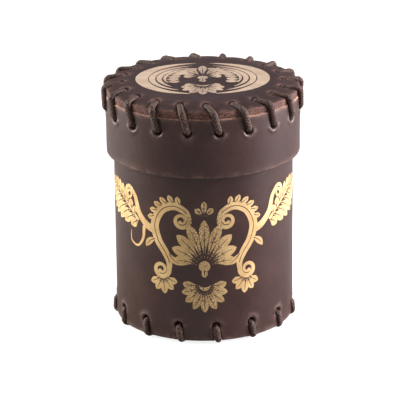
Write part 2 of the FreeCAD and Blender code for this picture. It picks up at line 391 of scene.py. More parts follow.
def cup_face(degrees, z):
    """How far the cup's outer face stands off a true cylinder."""
    side = at(CUP_R, degrees, z)
    under_lid = smooth(SKIRT_LOW - 13.2, SKIRT_LOW - 1.2, z)
    uneven = 0.14 * sway(side.x, side.y, z, 26, 3.1) * (1 - under_lid)
    off = nearest_turn(degrees, BASE_FIRST, BASE_STITCHES)
    lean = BASE_LEAN * BASE_LEAN_AT_EDGE * (1 - z / BASE_HOLE_Z)
    across = (off - lean) * degree(CUP_R)
    pressed = (CUP_R - BASE_LACE_R + LACE_DEEP + 0.06) * snug(across, GROOVE_HALF)
    pressed *= 1 - smooth(BASE_HOLE_Z - 1.2, BASE_HOLE_Z + 0.8, z)
    from_hole = math.hypot(off * degree(CUP_R), z - BASE_HOLE_Z)
    lip = 0.24 * bell(from_hole - 3.1, 0.8) * smooth(-1.0, 1.5, z - BASE_HOLE_Z)
    squeezed = 0.3 * bell(abs(across) - 2.3, 0.9) * (1 - smooth(0, 7, z - CUP_LOW))
    return uneven - pressed + lip + squeezed


def cup_bend(x, y, w):
    """The cup's wall: its bottom edge is drawn up where each stitch passes under it."""
    degrees = math.degrees(x / CUP_R)
    inner = w / WALL
    lean = BASE_LEAN * (BASE_LEAN_AT_EDGE + 0.18 * inner)
    across = nearest_turn(degrees, BASE_FIRST + lean, BASE_STITCHES) * degree(CUP_R)
    drawn = 1.25 * snug(across, 1.45) * (1 - smooth(0, 5.0, y - CUP_LOW))
    r = CUP_R - w + cup_face(degrees, y) * (1 - inner) ** 0.5
    return at(r, degrees, y + drawn)


def skirt_face(degrees, z):
    """How far the skirt's outer face stands off a true cylinder."""
    side = at(LID_R, degrees, z)
    uneven = 0.16 * sway(side.x, side.y, z, 24, 8.7) * smooth(SKIRT_LOW, SKIRT_LOW + 5, z)
    off = nearest_turn(degrees, LID_FIRST, LID_STITCHES)
    climbed = (z - LID_LACE_Z) / (SKIRT_TOP + DISC - LID_LACE_Z)
    across = (off + LID_LEAN * LID_LEAN_AT_RIM * climbed) * degree(LID_R)
    pressed = (LID_R - LID_LACE_R + LACE_DEEP + 0.04) * snug(across, GROOVE_HALF)
    pressed *= smooth(LID_HOLE_Z - 0.8, LID_HOLE_Z + 1.2, z)
    from_hole = math.hypot(off * degree(LID_R), z - LID_HOLE_Z)
    lip = 0.36 * bell(from_hole - 2.95, 0.85) * smooth(-1.0, 1.5, LID_HOLE_Z - z)
    return uneven - pressed + lip


def skirt_bend(x, y, w):
    """The lid's skirt, a tube."""
    degrees = math.degrees(x / LID_R)
    r = LID_R - w + skirt_face(degrees, y) * (1 - w / WALL)
    return at(r, degrees, y)


def lid_height(r):
    """The lid's upper face, before the laces press it."""
    out = max(0.0, r - (LID_DISC_R - RIM_BORDER))
    return LID_MIDDLE - (DOME_R - math.sqrt(DOME_R**2 - out**2))


def lid_underside(r):
    """The lid's lower face, flat in the middle and lying on the skirt at its rim."""
    middle = LID_MIDDLE - DISC
    share = smooth(LID_R - RIM_BORDER + 2, LID_R - WALL - 1, r)
    return middle + (SKIRT_TOP - middle) * share


def lid_groove(x, y):
    """How deep the laces press into the lid's upper face."""
    r = math.hypot(x, y)
    degrees = math.degrees(math.atan2(x, -y))
    inward = (LID_R - r) / (LID_R - LID_HOLE_R)
    lean = LID_LEAN * (LID_LEAN_AT_RIM + (1 - LID_LEAN_AT_RIM) * inward)
    across = nearest_turn(degrees, LID_FIRST - lean, LID_STITCHES) * degree(r)
    reach = smooth(LID_HOLE_R - 2.4, LID_HOLE_R + 0.6, r)
    return reach * ((0.5 + 0.5 * (1 - inward)) * snug(across, 1.55) + 0.4 * bell(across, 3.2))


def lid_face(x, y):
    """The lid's upper face as it is, uneven and pressed by the laces."""
    uneven = 0.16 * sway(x, y, 0, 21, 5.5)
    return lid_height(math.hypot(x, y)) + uneven - lid_groove(x, y)


def lid_bend(x, y, w):
    """The lid's disc: domed, with its rim nicked under each lace."""
    r = math.hypot(x, y)
    inner = w / DISC
    nick = 0.6 * lid_groove(x, y) * smooth(LID_R - 1.8, LID_R - 0.4, r) * (1 - 0.5 * inner)
    frayed = 0.09 * sway(x * 3, y * 3, w * 3, 2.5, 1.3) * smooth(LID_R - 0.6, LID_R - 0.3, r)
    z = lid_face(x, y) * (1 - inner) + (lid_underside(r) + 0.02) * inner
    shrink = (r - nick + frayed) / r if r > 1 else 1
    return Vector((x * shrink, y * shrink, z))


def base_bend(x, y, w):
    """The base's disc, a little uneven on top."""
    top = BASE_TOP + 0.12 * sway(x, y, 0, 18, 2.2)
    return Vector((x, y, top * (1 - w / DISC) + BASE_LOW * w / DISC))


def rubbed(x, y, k):
    """Every cut edge is rubbed smooth."""
    return RUBBED_EDGE


def cup_wall_leather(slots):
    """The rolled wall, with its holes near the bottom edge."""
    rounding = 0.75
    rows = steps(CUP_LOW + rounding, BASE_HOLE_Z - HALF_BLOCK, 7)
    hole_row = len(rows)
    rows += steps(BASE_HOLE_Z - HALF_BLOCK, BASE_HOLE_Z + HALF_BLOCK, FINE)
    rows += steps(BASE_HOLE_Z + HALF_BLOCK, CUP_RIM - rounding, 70) + [CUP_RIM - rounding]
    pattern = wall_pattern(CUP_R, CUP_SEAM, BASE_STITCHES, BASE_FIRST, rows, hole_row, BASE_HOLE_Z, rounding)
    return thicken("cup_wall_leather", pattern, WALL, rounding, cup_bend, slots, rubbed)


def lid_skirt_leather(slots):
    """The rolled skirt, with its holes near the top edge."""
    rounding = 0.7
    rows = steps(SKIRT_LOW + rounding, LID_HOLE_Z - HALF_BLOCK, 18)
    hole_row = len(rows)
    rows += steps(LID_HOLE_Z - HALF_BLOCK, LID_HOLE_Z + HALF_BLOCK, FINE)
    top = SKIRT_TOP - rounding
    rows += steps(LID_HOLE_Z + HALF_BLOCK, top, 4) + [top]
    pattern = wall_pattern(LID_R, LID_SEAM, LID_STITCHES, LID_FIRST, rows, hole_row, LID_HOLE_Z, rounding)

    def edge(x, y, k):
        """The top edge is raw and painted pale as a highlight, and the others are rubbed."""
        return RAW_SKIRT_EDGE_PAINTED_HIGHLIGHT if y > top - 0.1 else RUBBED_EDGE

    return thicken("lid_skirt_leather", pattern, WALL, rounding, skirt_bend, slots, edge)


def lid_top_leather(slots):
    """The lid's disc, with its holes near the rim."""
    rounding = 0.4
    pattern = disc_pattern(LID_STITCHES, LID_FIRST - LID_LEAN, LID_HOLE_R, LID_DISC_R, rounding)

    def edge(x, y, k):
        """The outer edge is raw below its first two rows, and the holes keep the grain."""
        return RAW_DISC_EDGE if math.hypot(x, y) > LID_R - 2 and k > 1 else GRAIN_SIDE

    return thicken("lid_top_leather", pattern, DISC, rounding, lid_bend, slots, edge)


def cup_base_leather(slots):
    """The base's disc, inside the wall."""
    rounding = 0.5
    pattern = disc_pattern(BASE_STITCHES, BASE_FIRST + BASE_LEAN, BASE_HOLE_R, BASE_R, rounding)
    return thicken("cup_base_leather", pattern, DISC, rounding, base_bend, slots, rubbed)


# ---- Laces and threads --------------------------------------------------------------------------

LAY_LENGTH = 10  # millimetres of cord in one unit of its lay
ROUND_END = 0.6  # length over which a cord's end is rounded


def rounded(points, bends, spacing):
    """Points along straight runs joined by tangent arcs."""
    line = [points[0]]
    for before, corner, after, bend in zip(points, points[1:], points[2:], bends):
        arrive = (corner - before).normalized()
        leave = (after - corner).normalized()
        turn = arrive.angle(leave)
        back = bend * math.tan(turn / 2)
        start = corner - arrive * back
        line += run(line[-1], start, spacing)
        axis = arrive.cross(leave).normalized()
        hub = start + axis.cross(arrive) * bend
        count = max(3, math.ceil(bend * turn / spacing))
        for k in range(1, count + 1):
            line.append(hub + Matrix.Rotation(turn * k / count, 3, axis) @ (start - hub))
    return line + run(line[-1], points[-1], spacing)


def run(a, b, spacing):
    """Evenly spaced points from a, which is left out, to b."""
    count = max(1, round((b - a).length / spacing))
    return [a.lerp(b, k / count) for k in range(1, count + 1)]


def cord_mesh(name, line, sides, radius, finish, press=None):
    """A cord; radius(along, angle) gives its section, and press(point, offset) can flatten it."""
    solid = bmesh.new()
    lay = solid.loops.layers.uv.new("lay")
    along = [0.0]
    for a, b in zip(line, line[1:]):
        along.append(along[-1] + (b - a).length)
    heading = (line[1] - line[0]).normalized()
    side = heading.orthogonal().normalized()
    rings = []
    for k, p in enumerate(line):
        ahead = (line[min(k + 1, len(line) - 1)] - line[max(k - 1, 0)]).normalized()
        side = (side - ahead * side.dot(ahead)).normalized()
        up = ahead.cross(side)
        near_end = min(1.0, min(along[k], along[-1] - along[k]) / ROUND_END)
        shrink = math.sqrt(max(0.0, 1 - (1 - near_end) ** 2)) * 0.75 + 0.25
        ring = []
        for s in range(sides):
            a = 2 * math.pi * s / sides
            offset = (side * math.cos(a) + up * math.sin(a)) * radius(along[k], a) * shrink
            ring.append(solid.verts.new(p + (press(p, offset) if press else offset)))
        rings.append(ring)
    for k in range(len(rings) - 1):
        for s in range(sides):
            n = (s + 1) % sides
            face = solid.faces.new((rings[k][s], rings[k][n], rings[k + 1][n], rings[k + 1][s]))
            spots = ((k, s), (k, s + 1), (k + 1, s + 1), (k + 1, s))
            for loop, (row, column) in zip(face.loops, spots):
                loop[lay].uv = (column / sides, along[row] / LAY_LENGTH)
    for ring, end in ((rings[0], line[0]), (rings[-1], line[-1])):
        middle = solid.verts.new(end)
        for s in range(sides):
            solid.faces.new((ring[s], ring[(s + 1) % sides], middle))
    bmesh.ops.recalc_face_normals(solid, faces=solid.faces)
    piece = as_piece(name, solid, [finish])
    solid.free()
    return piece


def braided(radius, strands, pitch, relief):
    """The section of a braided cord: two families of strands that cross."""

    def section(along, a):
        one = math.cos(strands * (a + 2 * math.pi * along / pitch))
        other = math.cos(strands * (a - 2 * math.pi * along / pitch))
        return radius + relief * (max(one, other) - 0.55)

    return section


def twisted(radius, strands, pitch, relief):
    """The section of a laid cord: strands that wind round each other."""

    def section(along, a):
        turn = strands * (a + 2 * math.pi * along / pitch) / 2
        return radius + relief * (abs(math.cos(turn)) - 0.7)

    return section


def shaken(point, dice, amount):
    """The point moved at random by up to this much each way."""
    return point + Vector([dice.uniform(-amount, amount) for _ in range(3)])


def pressed_round(hub_r, hub_z, outside):
    """Flattens a lace that goes round a leather edge, and swells it outside this radius."""

    def press(p, offset):
        r = math.hypot(p.x, p.y)
        lie = Vector((p.x, p.y, 0)).normalized() * (r - hub_r) + Vector((0, 0, p.z - hub_z))
        lie.normalize()
        flat = offset - lie * offset.dot(lie) * (1 - LACE_DEEP / LACE_WIDE)
        return flat * (1 + LACE_SWELL * smooth(outside - 1.0, outside + 0.4, r))

    return press


def lid_lace_route():
    """Round the lid: out through the skirt, up and over the rim, and in through the disc."""
    dice = random.Random(11)
    step = 360.0 / LID_STITCHES
    over = lid_height(LID_HOLE_R) - 0.5
    rim_z = lid_height(LID_DISC_R) + 0.35
    in_r = LID_R - WALL - LACE_WIDE
    points = []
    for n in range(LID_STITCHES + 2):
        t = LID_FIRST + step * (LID_STITCHES // 2) - step * n
        wander = dice.uniform(-0.4, 0.4)
        points += [
            at(in_r, t, LID_LACE_Z - 0.05),
            at(LID_LACE_R + 0.05, t, LID_LACE_Z + 0.1),
            shaken(at(LID_LACE_R, t - LID_LEAN * LID_LEAN_AT_RIM + wander, rim_z), dice, 0.1),
            shaken(at(LID_HOLE_R, t - LID_LEAN, over), dice, 0.06),
            at(LID_HOLE_R, t - LID_LEAN, SKIRT_TOP - 0.2),
        ]
    return with_ends(points)


def base_lace_route():
    """Round the base: out through the wall, down and under its edge, and up through the base."""
    dice = random.Random(23)
    step = 360.0 / BASE_STITCHES
    low_z = LACE_DEEP * (1 + LACE_SWELL)
    in_r = CUP_R - WALL - LACE_WIDE
    points = []
    for n in range(BASE_STITCHES + 2):
        t = BASE_FIRST - step * (BASE_STITCHES // 2) + step * n
        wander = dice.uniform(-0.3, 0.3)
        points += [
            at(in_r, t, BASE_HOLE_Z - LACE_PULL),
            at(BASE_LACE_R + 0.3, t, BASE_HOLE_Z - LACE_PULL - 0.1),
            at(BASE_LACE_R + 0.55, t + BASE_LEAN * BASE_LEAN_AT_EDGE + wander, low_z),
            at(BASE_HOLE_R, t + BASE_LEAN, low_z),
            at(BASE_HOLE_R, t + BASE_LEAN, BASE_TOP + LACE_WIDE),
        ]
    return with_ends(points)


def with_ends(points):
    """Starts and stops a lace in the middle of the inner run where its two ends meet."""
    n = STITCH_POINTS
    first = points[n - 1].lerp(points[n], 0.53)
    last = points[-n - 1].lerp(points[-n], 0.47)
    return [first, *points[n:-n], last]


def lacing(name, route, bends, press, finish):
    """A lace along its route, with a turn of its own radius at each corner of a stitch."""
    turns = [bends[k % STITCH_POINTS] for k in range(len(route) - 2)]
    section = braided(LACE_WIDE - 0.04, LACE_STRANDS, LACE_PITCH, 0.1)
    return cord_mesh(name, rounded(route, turns, spacing=0.3), 24, section, finish, press)


def seam_stitching(name, degrees, outer, heights, finish):
    """Thread that crosses a butt seam over its face and comes back through the leather."""
    spread = math.degrees(SEAM_HALF / outer)
    proud, deep = outer + THREAD_PROUD, outer - WALL / 2
    points = [at(deep, degrees, heights[0])]
    for z, above in zip(heights, heights[1:]):
        points += [
            at(deep, degrees - spread, z),
            at(proud, degrees - spread, z),
            at(proud, degrees, (z + above) / 2),
            at(proud, degrees + spread, above),
            at(deep, degrees + spread, above),
        ]
    points.append(at(deep, degrees, heights[-1]))
    line = rounded(points, [THREAD_BEND] * (len(points) - 2), spacing=0.16)
    section = twisted(THREAD_R, THREAD_STRANDS, THREAD_PITCH, 0.12)
    return cord_mesh(name, line, 12, section, finish)


# ---- Gold ornament ------------------------------------------------------------------------------
# Drawn flat in millimetres with complex numbers, right half first: shapes are filled, cuts are left out.

BOW_STEPS = 18  # steps in each kind of line
FLOW_STEPS = 10
ARC_STEPS = 28
CURL_STEPS = 40
CRESCENT_STEPS = 44


def polar(size, degrees):
    """A step of this size in this direction, counted from the right."""
    return complex(size * math.cos(math.radians(degrees)), size * math.sin(math.radians(degrees)))


class Drawing:
    """Filled outlines, and the thin cuts that part them."""

    def __init__(self):
        self.shapes = []
        self.cuts = []

    def band(self, spine, width_at, cut=False):
        """A ribbon of changing width along a line of points."""
        left, right = [], []
        for k, p in enumerate(spine):
            ahead = spine[min(k + 1, len(spine) - 1)] - spine[max(k - 1, 0)]
            across = ahead / abs(ahead) * 1j * width_at(k / (len(spine) - 1)) / 2
            left.append(p + across)
            right.append(p - across)
        (self.cuts if cut else self.shapes).append(left + right[::-1])

    def dot(self, centre, radius):
        self.shapes.append([centre + polar(radius, 360 * k / 16) for k in range(16)])

    def leaf(self, base, tip, width, bow=0.0, full=0.5, veins=0):
        """A leaf with a cut for its rib, widest at this share of its length, and veins on each side."""
        spine = bowed(base, tip, bow)
        power = math.log(0.5) / math.log(full)
        self.band(spine, lambda t: width * math.sin(math.pi * t**power) ** 0.75 if 0 < t < 1 else 0.02)
        self.band(spine[1:-3], lambda t: 0.5 - 0.25 * t, cut=True)
        for k in range(veins):
            at_rib = 3 + round(k * (len(spine) - 9) / veins)
            p, ahead = spine[at_rib], spine[at_rib + 1] - spine[at_rib]
            for side in (42, -42):
                end = p + ahead / abs(ahead) * polar(width * 0.42, side)
                self.band([p, (p + end) / 2, end], lambda t: 0.34 * (1 - t) + 0.05, cut=True)

    def curl(self, centre, radius, start, turns, wide):
        """A stem's end that thins as it winds into a spiral round a bud."""
        spine = [
            centre + polar(radius * (1 - 0.7 * t), start + 360 * turns * t)
            for t in (k / CURL_STEPS for k in range(CURL_STEPS + 1))
        ]
        thin = 0.45  # its width at the bud, as a share of where it starts
        self.band(spine, lambda t: wide * (1 - (1 - thin) * t))
        self.dot(spine[-1], wide * thin * 0.95)

    def mirror(self):
        """Adds the left half."""
        for loops in (self.shapes, self.cuts):
            loops += [[complex(-p.real, p.imag) for p in loop] for loop in loops]


def bowed(base, tip, bow):
    """Points on a bowed line."""
    hump = (base + tip) / 2 + (tip - base) * 1j * bow
    shares = [k / BOW_STEPS for k in range(BOW_STEPS + 1)]
    return [base * (1 - t) ** 2 + hump * 2 * t * (1 - t) + tip * t * t for t in shares]


def flowing(*knots):
    """A smooth line through the knots, each an (x, y) pair."""
    knots = [complex(*knot) for knot in knots]
    ends = [2 * knots[0] - knots[1], *knots, 2 * knots[-1] - knots[-2]]
    line = []
    for a, b, c, d in zip(ends, ends[1:], ends[2:], ends[3:]):
        for k in range(FLOW_STEPS):
            t = k / FLOW_STEPS
            square, cube = 2 * a - 5 * b + 4 * c - d, 3 * b - a - 3 * c + d
            line.append(0.5 * (2 * b + (c - a) * t + square * t**2 + cube * t**3))
    return line + [knots[-1]]


def arc(centre, radius, start, end):
    """Points on an arc, from one direction to the other."""
    return [centre + polar(radius, start + (end - start) * k / ARC_STEPS) for k in range(ARC_STEPS + 1)]


def side_frond(draw):
    """The stem that climbs to the side, and the broad leaf that it carries."""
    stem = flowing((23.6, 53.6), (29, 55.6), (33.8, 60.6), (36.2, 67.6), (39.6, 71.8))
    draw.band(stem, lambda t: 4.0 - 2.2 * t)
    draw.curl(complex(40.9, 68.6), 3.3, 112, -1.2, 1.9)
    rib = flowing((32.8, 55.4), (39, 60.6), (46, 65), (54, 68.2), (65, 69))
    draw.band(rib[2:-4], lambda t: 1.6 - 0.9 * t)
    above_rib = (0, 4.2, 5.2, 7.4, 7.8, 7.4, 6.6, 5.4, 4.2)
    below_rib = (6.6, 10.2, 13.2, 15.0, 15.2, 13.6, 11.2, 8.4, 5.8)
    for k, (above, below) in enumerate(zip(above_rib, below_rib)):
        root, ahead = rib[2 + 4 * k], rib[3 + 4 * k] - rib[2 + 4 * k]
        ahead /= abs(ahead)
        draw.leaf(root, root + ahead * polar(below, -76 + 4 * k), 4.8 - 0.2 * k, 0.14, 0.62, 1)
        if above:
            draw.leaf(root, root + ahead * polar(above, 52 - 2 * k), 3.8 - 0.18 * k, -0.14, 0.62, 1)


def great_scroll(draw):
    """The scroll that frames the middle, wound up at both its ends, with leaves along its back."""
    spine = flowing(
        (6.8, 60.2), (8.8, 64.6), (14.6, 67.0), (20.8, 64.2), (24.2, 57.0),
        (22.6, 49.6), (19.0, 44.0), (16.9, 39.4), (16.9, 35.0),
    )
    draw.band(spine, lambda t: 1.9 + 2.5 * math.sin(math.pi * (0.05 + 0.9 * t)))
    draw.band(spine[8:-8], lambda t: 0.42, cut=True)
    draw.curl(complex(10.7, 60.2), 3.9, 180, 1.35, 2.1)
    draw.curl(complex(21.0, 35.0), 4.1, 180, 1.35, 2.4)
    for k in range(6):
        p, q = spine[14 + 4 * k], spine[15 + 4 * k]
        lean = (q - p) / abs(q - p) * polar(1, 48)
        draw.leaf(p + lean * 1.9, p + lean * (6.6 - 0.25 * abs(k - 2)), 2.7, -0.18, 0.55)


def lower_leaves(draw):
    """The spray of leaves under the great scroll."""
    root = complex(20.2, 32.2)
    for k in range(5):
        turn = -160 + 32 * k
        tip = root + polar(9.4 - 0.8 * abs(k - 2), turn)
        draw.leaf(root + polar(1.8, turn), tip, 3.5, 0.1 * (2 - k), 0.62, 1)
    draw.leaf(complex(17.0, 43.6), complex(10.6, 38.4), 2.9, 0.25, 0.55)
    draw.leaf(complex(23.8, 49.6), complex(29.4, 44.8), 3.2, 0.25, 0.55)


def palmette(draw, hub, up, reach, wide, petals, sweep, droop):
    """Petals that spread like a fan, long in the middle and curled at the sides."""
    for k in range(petals):
        share = 2 * k / (petals - 1) - 1
        turn = up - sweep * share
        far = reach * (1 - droop * abs(share) ** 1.4)
        draw.leaf(hub + polar(reach * 0.16, turn), hub + polar(far, turn), wide, 0.16 * share, 0.68, 2)


def cup_ornament():
    """A palmette between two great scrolls, with a frond to each side and a small palmette below."""
    draw = Drawing()
    side_frond(draw)
    great_scroll(draw)
    lower_leaves(draw)
    draw.mirror()
    tendril = flowing((-30.5, 54.6), (-31.4, 48), (-35, 43.8), (-39.4, 45.4), (-39.6, 50.2))
    draw.band(tendril, lambda t: 1.5 * (1 - t) + 0.3)
    palmette(draw, complex(0, 38.4), 90, 22.4, 4.9, 9, 84, 0.34)
    draw.dot(complex(0, 37.8), 2.7)
    draw.leaf(complex(0, 36.2), complex(0, 32.2), 3.0, 0)
    palmette(draw, complex(0, 61.4), 90, 8.6, 2.8, 3, 42, 0.25)
    draw.band(arc(complex(0, 29.4), 2.9, 200, 340), lambda t: 1.5 * math.sin(math.pi * t) + 0.1)
    palmette(draw, complex(0, 28.2), -90, 13.6, 3.7, 9, 96, 0.24)
    return draw


def lid_ornament():
    """Nested crescents of foliage that close into a ring round two small palmettes."""
    draw = Drawing()

    def crescent(reach, depth, front, back, thick):
        turn = math.radians(back - front) / CRESCENT_STEPS
        angles = [math.radians(front) + turn * k for k in range(CRESCENT_STEPS + 1)]
        spine = [complex(reach * math.cos(a), 1.5 + depth * math.sin(a)) for a in angles]
        draw.band(spine, lambda t: thick * math.sin(math.pi * min(1.0, 0.01 + t)) ** 0.8 + 0.12)
        return spine

    crescent(28.8, 25.0, -78, 84, 5.8)
    crescent(23.9, 20.9, -62, 78, 2.9)
    crescent(20.5, 18.2, -44, 72, 2.5)
    inner = crescent(17.9, 16.2, -24, 70, 1.5)
    for k in range(7):
        root = inner[4 + 6 * k]
        tip = root + polar(7.6 - 0.4 * abs(k - 3), 180 - 4 * k + 8 * (k > 3))
        draw.leaf(root, tip, 3.6, 0.2, 0.6, 1)
    draw.mirror()
    palmette(draw, complex(0, 3.0), 90, 19.0, 4.2, 7, 82, 0.52)
    draw.dot(complex(0, 2.4), 2.5)
    draw.leaf(complex(0, 0.4), complex(0, -4.4), 3.4, 0)
    draw.band(arc(complex(0, -7.6), 3.0, 200, 340), lambda t: 1.6 * math.sin(math.pi * t) + 0.1)
    palmette(draw, complex(0, -8.8), -90, 15.6, 4.0, 9, 94, 0.46)
    return draw


def leftward(loop):
    """The same outline, with its inside on the left."""
    area = sum((a.conjugate() * b).imag for a, b in zip(loop, loop[1:] + loop[:1]))
    return loop if area > 0 else loop[::-1]


def grid_over(points):
    """A grid over the points, a hair aside so that it misses the outlines' own corners."""
    wide = max(abs(p.x) for p in points)
    foot = min(p.y for p in points)
    tall = max(p.y for p in points) - foot
    across, up = round(2 * wide / FOIL_GRID), round(tall / FOIL_GRID)
    columns = [-wide + 2 * wide * i / across + 0.013 for i in range(across + 1)]
    rows = [foot + tall * j / up + 0.017 for j in range(up + 1)]
    return [Vector((x, y)) for x in columns for y in rows]


def foil(name, draw, place, finish):
    """Thin foil in these outlines, laid on a bent surface; place(x, y, proud) gives its points."""
    points, faces = [], []
    for loop in draw.shapes + draw.cuts:
        faces.append(list(range(len(points), len(points) + len(loop))))
        points += [Vector((p.real, p.imag)) for p in leftward(loop)]
    points += grid_over(points)
    spots, _, cells, _, _, sources = delaunay_2d_cdt(points, [], faces, 1, 1e-4)
    flat = bmesh.new()
    verts = [flat.verts.new((p.x, p.y, 0)) for p in spots]
    for cell, source in zip(cells, sources):
        if source and max(source) < len(draw.shapes):
            flat.faces.new([verts[k] for k in cell])
    bmesh.ops.delete(flat, geom=[v for v in flat.verts if not v.link_faces], context="VERTS")
    return foil_shell(name, flat, place, finish)


def foil_shell(name, flat, place, finish):
    """Closes the flat foil into a thin shell on its surface."""
    solid = bmesh.new()
    upper = {v: solid.verts.new(place(v.co.x, v.co.y, FOIL_PROUD)) for v in flat.verts}
    under = {v: solid.verts.new(place(v.co.x, v.co.y, -FOIL_SUNK)) for v in flat.verts}
    for face in flat.faces:
        solid.faces.new([upper[v] for v in face.verts])
        solid.faces.new([under[v] for v in reversed(face.verts)])
    for edge in (e for e in flat.edges if e.is_boundary):
        a, b = edge.verts
        solid.faces.new((upper[a], upper[b], under[b], under[a]))
    bmesh.ops.recalc_face_normals(solid, faces=solid.faces)
    bmesh.ops.triangulate(solid, faces=[f for f in solid.faces if len(f.verts) > 4])
    piece = as_piece(name, solid, [finish])
    piece.data.set_sharp_from_angle(angle=math.radians(40))
    flat.free()
    solid.free()
    return piece


def on_cup(x, y, proud):
    """The cup's flat drawing has its foot at the wall's bottom edge."""
    degrees = math.degrees(x / CUP_R)
    return at(CUP_R + cup_face(degrees, y + CUP_LOW) + proud, degrees, y + CUP_LOW)


def on_lid(x, y, proud):
    """The lid's flat drawing has its foot towards the front."""
    return Vector((x, y, lid_face(x, y) + proud))


# ---- Finishes -----------------------------------------------------------------------------------

GRAIN_SIZE = 0.75  # one cell of the leather's grain, which the foil is pressed into too


def tint(red, green, blue):
    """A colour given as it looks on a screen, 0 to 255."""
    share = [c / 255 for c in (red, green, blue)]
    return (*[c / 12.92 if c <= 0.04045 else ((c + 0.055) / 1.055) ** 2.4 for c in share], 1.0)


class Value:
    """A number or colour that changes over a surface; sums of numbers add their own nodes."""

    def __init__(self, finish, socket):
        self.finish = finish
        self.socket = socket

    def __add__(self, other):
        return self.finish.maths("ADD", self, other)

    def __sub__(self, other):
        return self.finish.maths("SUBTRACT", self, other)

    def __rsub__(self, other):
        return self.finish.maths("SUBTRACT", other, self)

    def __mul__(self, other):
        return self.finish.maths("MULTIPLY", self, other)

    __radd__ = __add__
    __rmul__ = __mul__


class Finish:
    """The nodes of a new material or world."""

    def __init__(self, owner):
        owner.use_nodes = True
        self.owner = owner
        self.tree = owner.node_tree
        self.tree.nodes.clear()

    def node(self, kind, settings=None, sockets=None, out=0):
        """Any node: its settings first, then the values or links of its sockets."""
        made = self.tree.nodes.new("ShaderNode" + kind)
        for key, value in (settings or {}).items():
            setattr(made, key, value)
        for key, value in (sockets or {}).items():
            if isinstance(value, Value):
                self.tree.links.new(value.socket, made.inputs[key])
            else:
                made.inputs[key].default_value = value
        return Value(self, made.outputs[out]) if len(made.outputs) else None

    def maths(self, how, a, b):
        return self.node("Math", {"operation": how}, {0: a, 1: b})

    def cosine(self, value):
        return self.node("Math", {"operation": "COSINE"}, {0: value})

    def larger(self, a, b):
        return self.maths("MAXIMUM", a, b)

    def part(self, vector, axis):
        """One part of a vector: 0 for X, 1 for Y."""
        return self.node("SeparateXYZ", None, {0: vector}, axis)

    def stretched(self, vector, amounts):
        return self.node("VectorMath", {"operation": "MULTIPLY"}, {0: vector, 1: amounts})

    def ray(self, kind):
        """1 for a ray of this kind and 0 for others."""
        return self.node("LightPath", out=f"Is {kind} Ray")

    def between(self, value, low_end, high_end):
        """0 to 1 as the value goes from one end to the other."""
        ends = {"Value": value, "From Min": low_end, "From Max": high_end}
        return self.node("MapRange", {"interpolation_type": "SMOOTHSTEP"}, ends)

    def blend(self, share, first, second):
        """Two colours mixed."""
        return self.node("Mix", {"data_type": "RGBA"}, {0: share, 6: first, 7: second}, 2)

    def place(self, stretch=(1000, 1000, 1000)):
        """The spot on the piece in millimetres, stretched if asked."""
        return self.stretched(self.node("TexCoord", out="Object"), stretch)

    def cloud(self, where, size, detail, rough=0.55):
        """Soft noise from 0 to 1, in blots of this size."""
        sockets = {"Vector": where, "Scale": 1 / size, "Detail": detail, "Roughness": rough}
        return self.node("TexNoise", None, sockets)

    def cells(self, where, size, feature):
        """Distance to this feature of the nearest cell."""
        return self.node("TexVoronoi", {"feature": feature}, {"Vector": where, "Scale": 1 / size})

    def pebbles(self, where, size):
        """Distance to the middle of the nearest cell."""
        return self.cells(where, size, "F1")

    def creases(self, where, size):
        """Distance to the nearest crease between cells."""
        return self.cells(where, size, "DISTANCE_TO_EDGE")

    def mark(self, name):
        """A number stored on the piece's points."""
        return self.node("Attribute", {"attribute_name": name}, None, "Fac")

    def relief(self, height, depth, strength=1.0):
        """A bump this many millimetres deep."""
        return self.node("Bump", None, {"Height": height, "Strength": strength, "Distance": depth / 1000})

    def surface(self, **sockets):
        """Ends the finish in one surface; names take a space for each underscore."""
        named = {key.replace("_", " "): value for key, value in sockets.items()}
        shader = self.node("BsdfPrincipled", None, named)
        self.node("OutputMaterial", None, {"Surface": shader})
        return self.owner


def new_finish(name):
    return Finish(bpy.data.materials.new(name))


def grain_leather(name, deep, worn, dull, shine):
    """Smooth dyed leather: fine grain, slow changes of tone, and rims painted lighter, partly as rubbed wear
    and partly as a painted highlight.
    """
    f = new_finish(name)
    spot = f.place()
    shade = f.cloud(spot, 16, 4)
    mottle = f.cloud(spot, 2.6, 5, 0.6)
    grain = f.creases(spot, GRAIN_SIZE)
    pores = f.pebbles(spot, 0.34)
    # Painted highlight: edges and hole lips are painted lighter, partly rubbed wear and partly a stand-in
    # for light catching them.
    rubbed = f.mark("rim") * f.between(f.cloud(spot, 3.2, 4), 0.3, 0.75)
    colour = f.blend(f.between(shade * 0.65 + mottle * 0.35, 0.3, 0.72), deep, worn)
    colour = f.blend(rubbed * 0.7, colour, tint(128, 96, 84))
    height = f.between(grain, 0.0, 0.35) * 0.6 + pores * 0.35 + mottle * 0.5
    rough = mottle * 0.16 + f.mark("rim") * 0.28 - f.between(grain, 0.0, 0.3) * 0.05
    return f.surface(
        Base_Color=colour,
        Roughness=dull + rough,
        Specular_IOR_Level=shine,
        Normal=f.relief(height, 0.05, 0.8),
    )


def rubbed_edge(name):
    """The cut edge, dyed and rubbed smooth."""
    f = new_finish(name)
    streak = f.cloud(f.place((500, 500, 2600)), 1.2, 4)
    fine = f.cloud(f.place(), 0.5, 4)
    colour = f.blend(f.between(streak * 0.6 + fine * 0.4, 0.3, 0.7), tint(48, 33, 29), tint(92, 68, 59))
    return f.surface(
        Base_Color=colour,
        Roughness=0.38 + fine * 0.22,
        Normal=f.relief(fine + streak, 0.06, 0.7),
    )


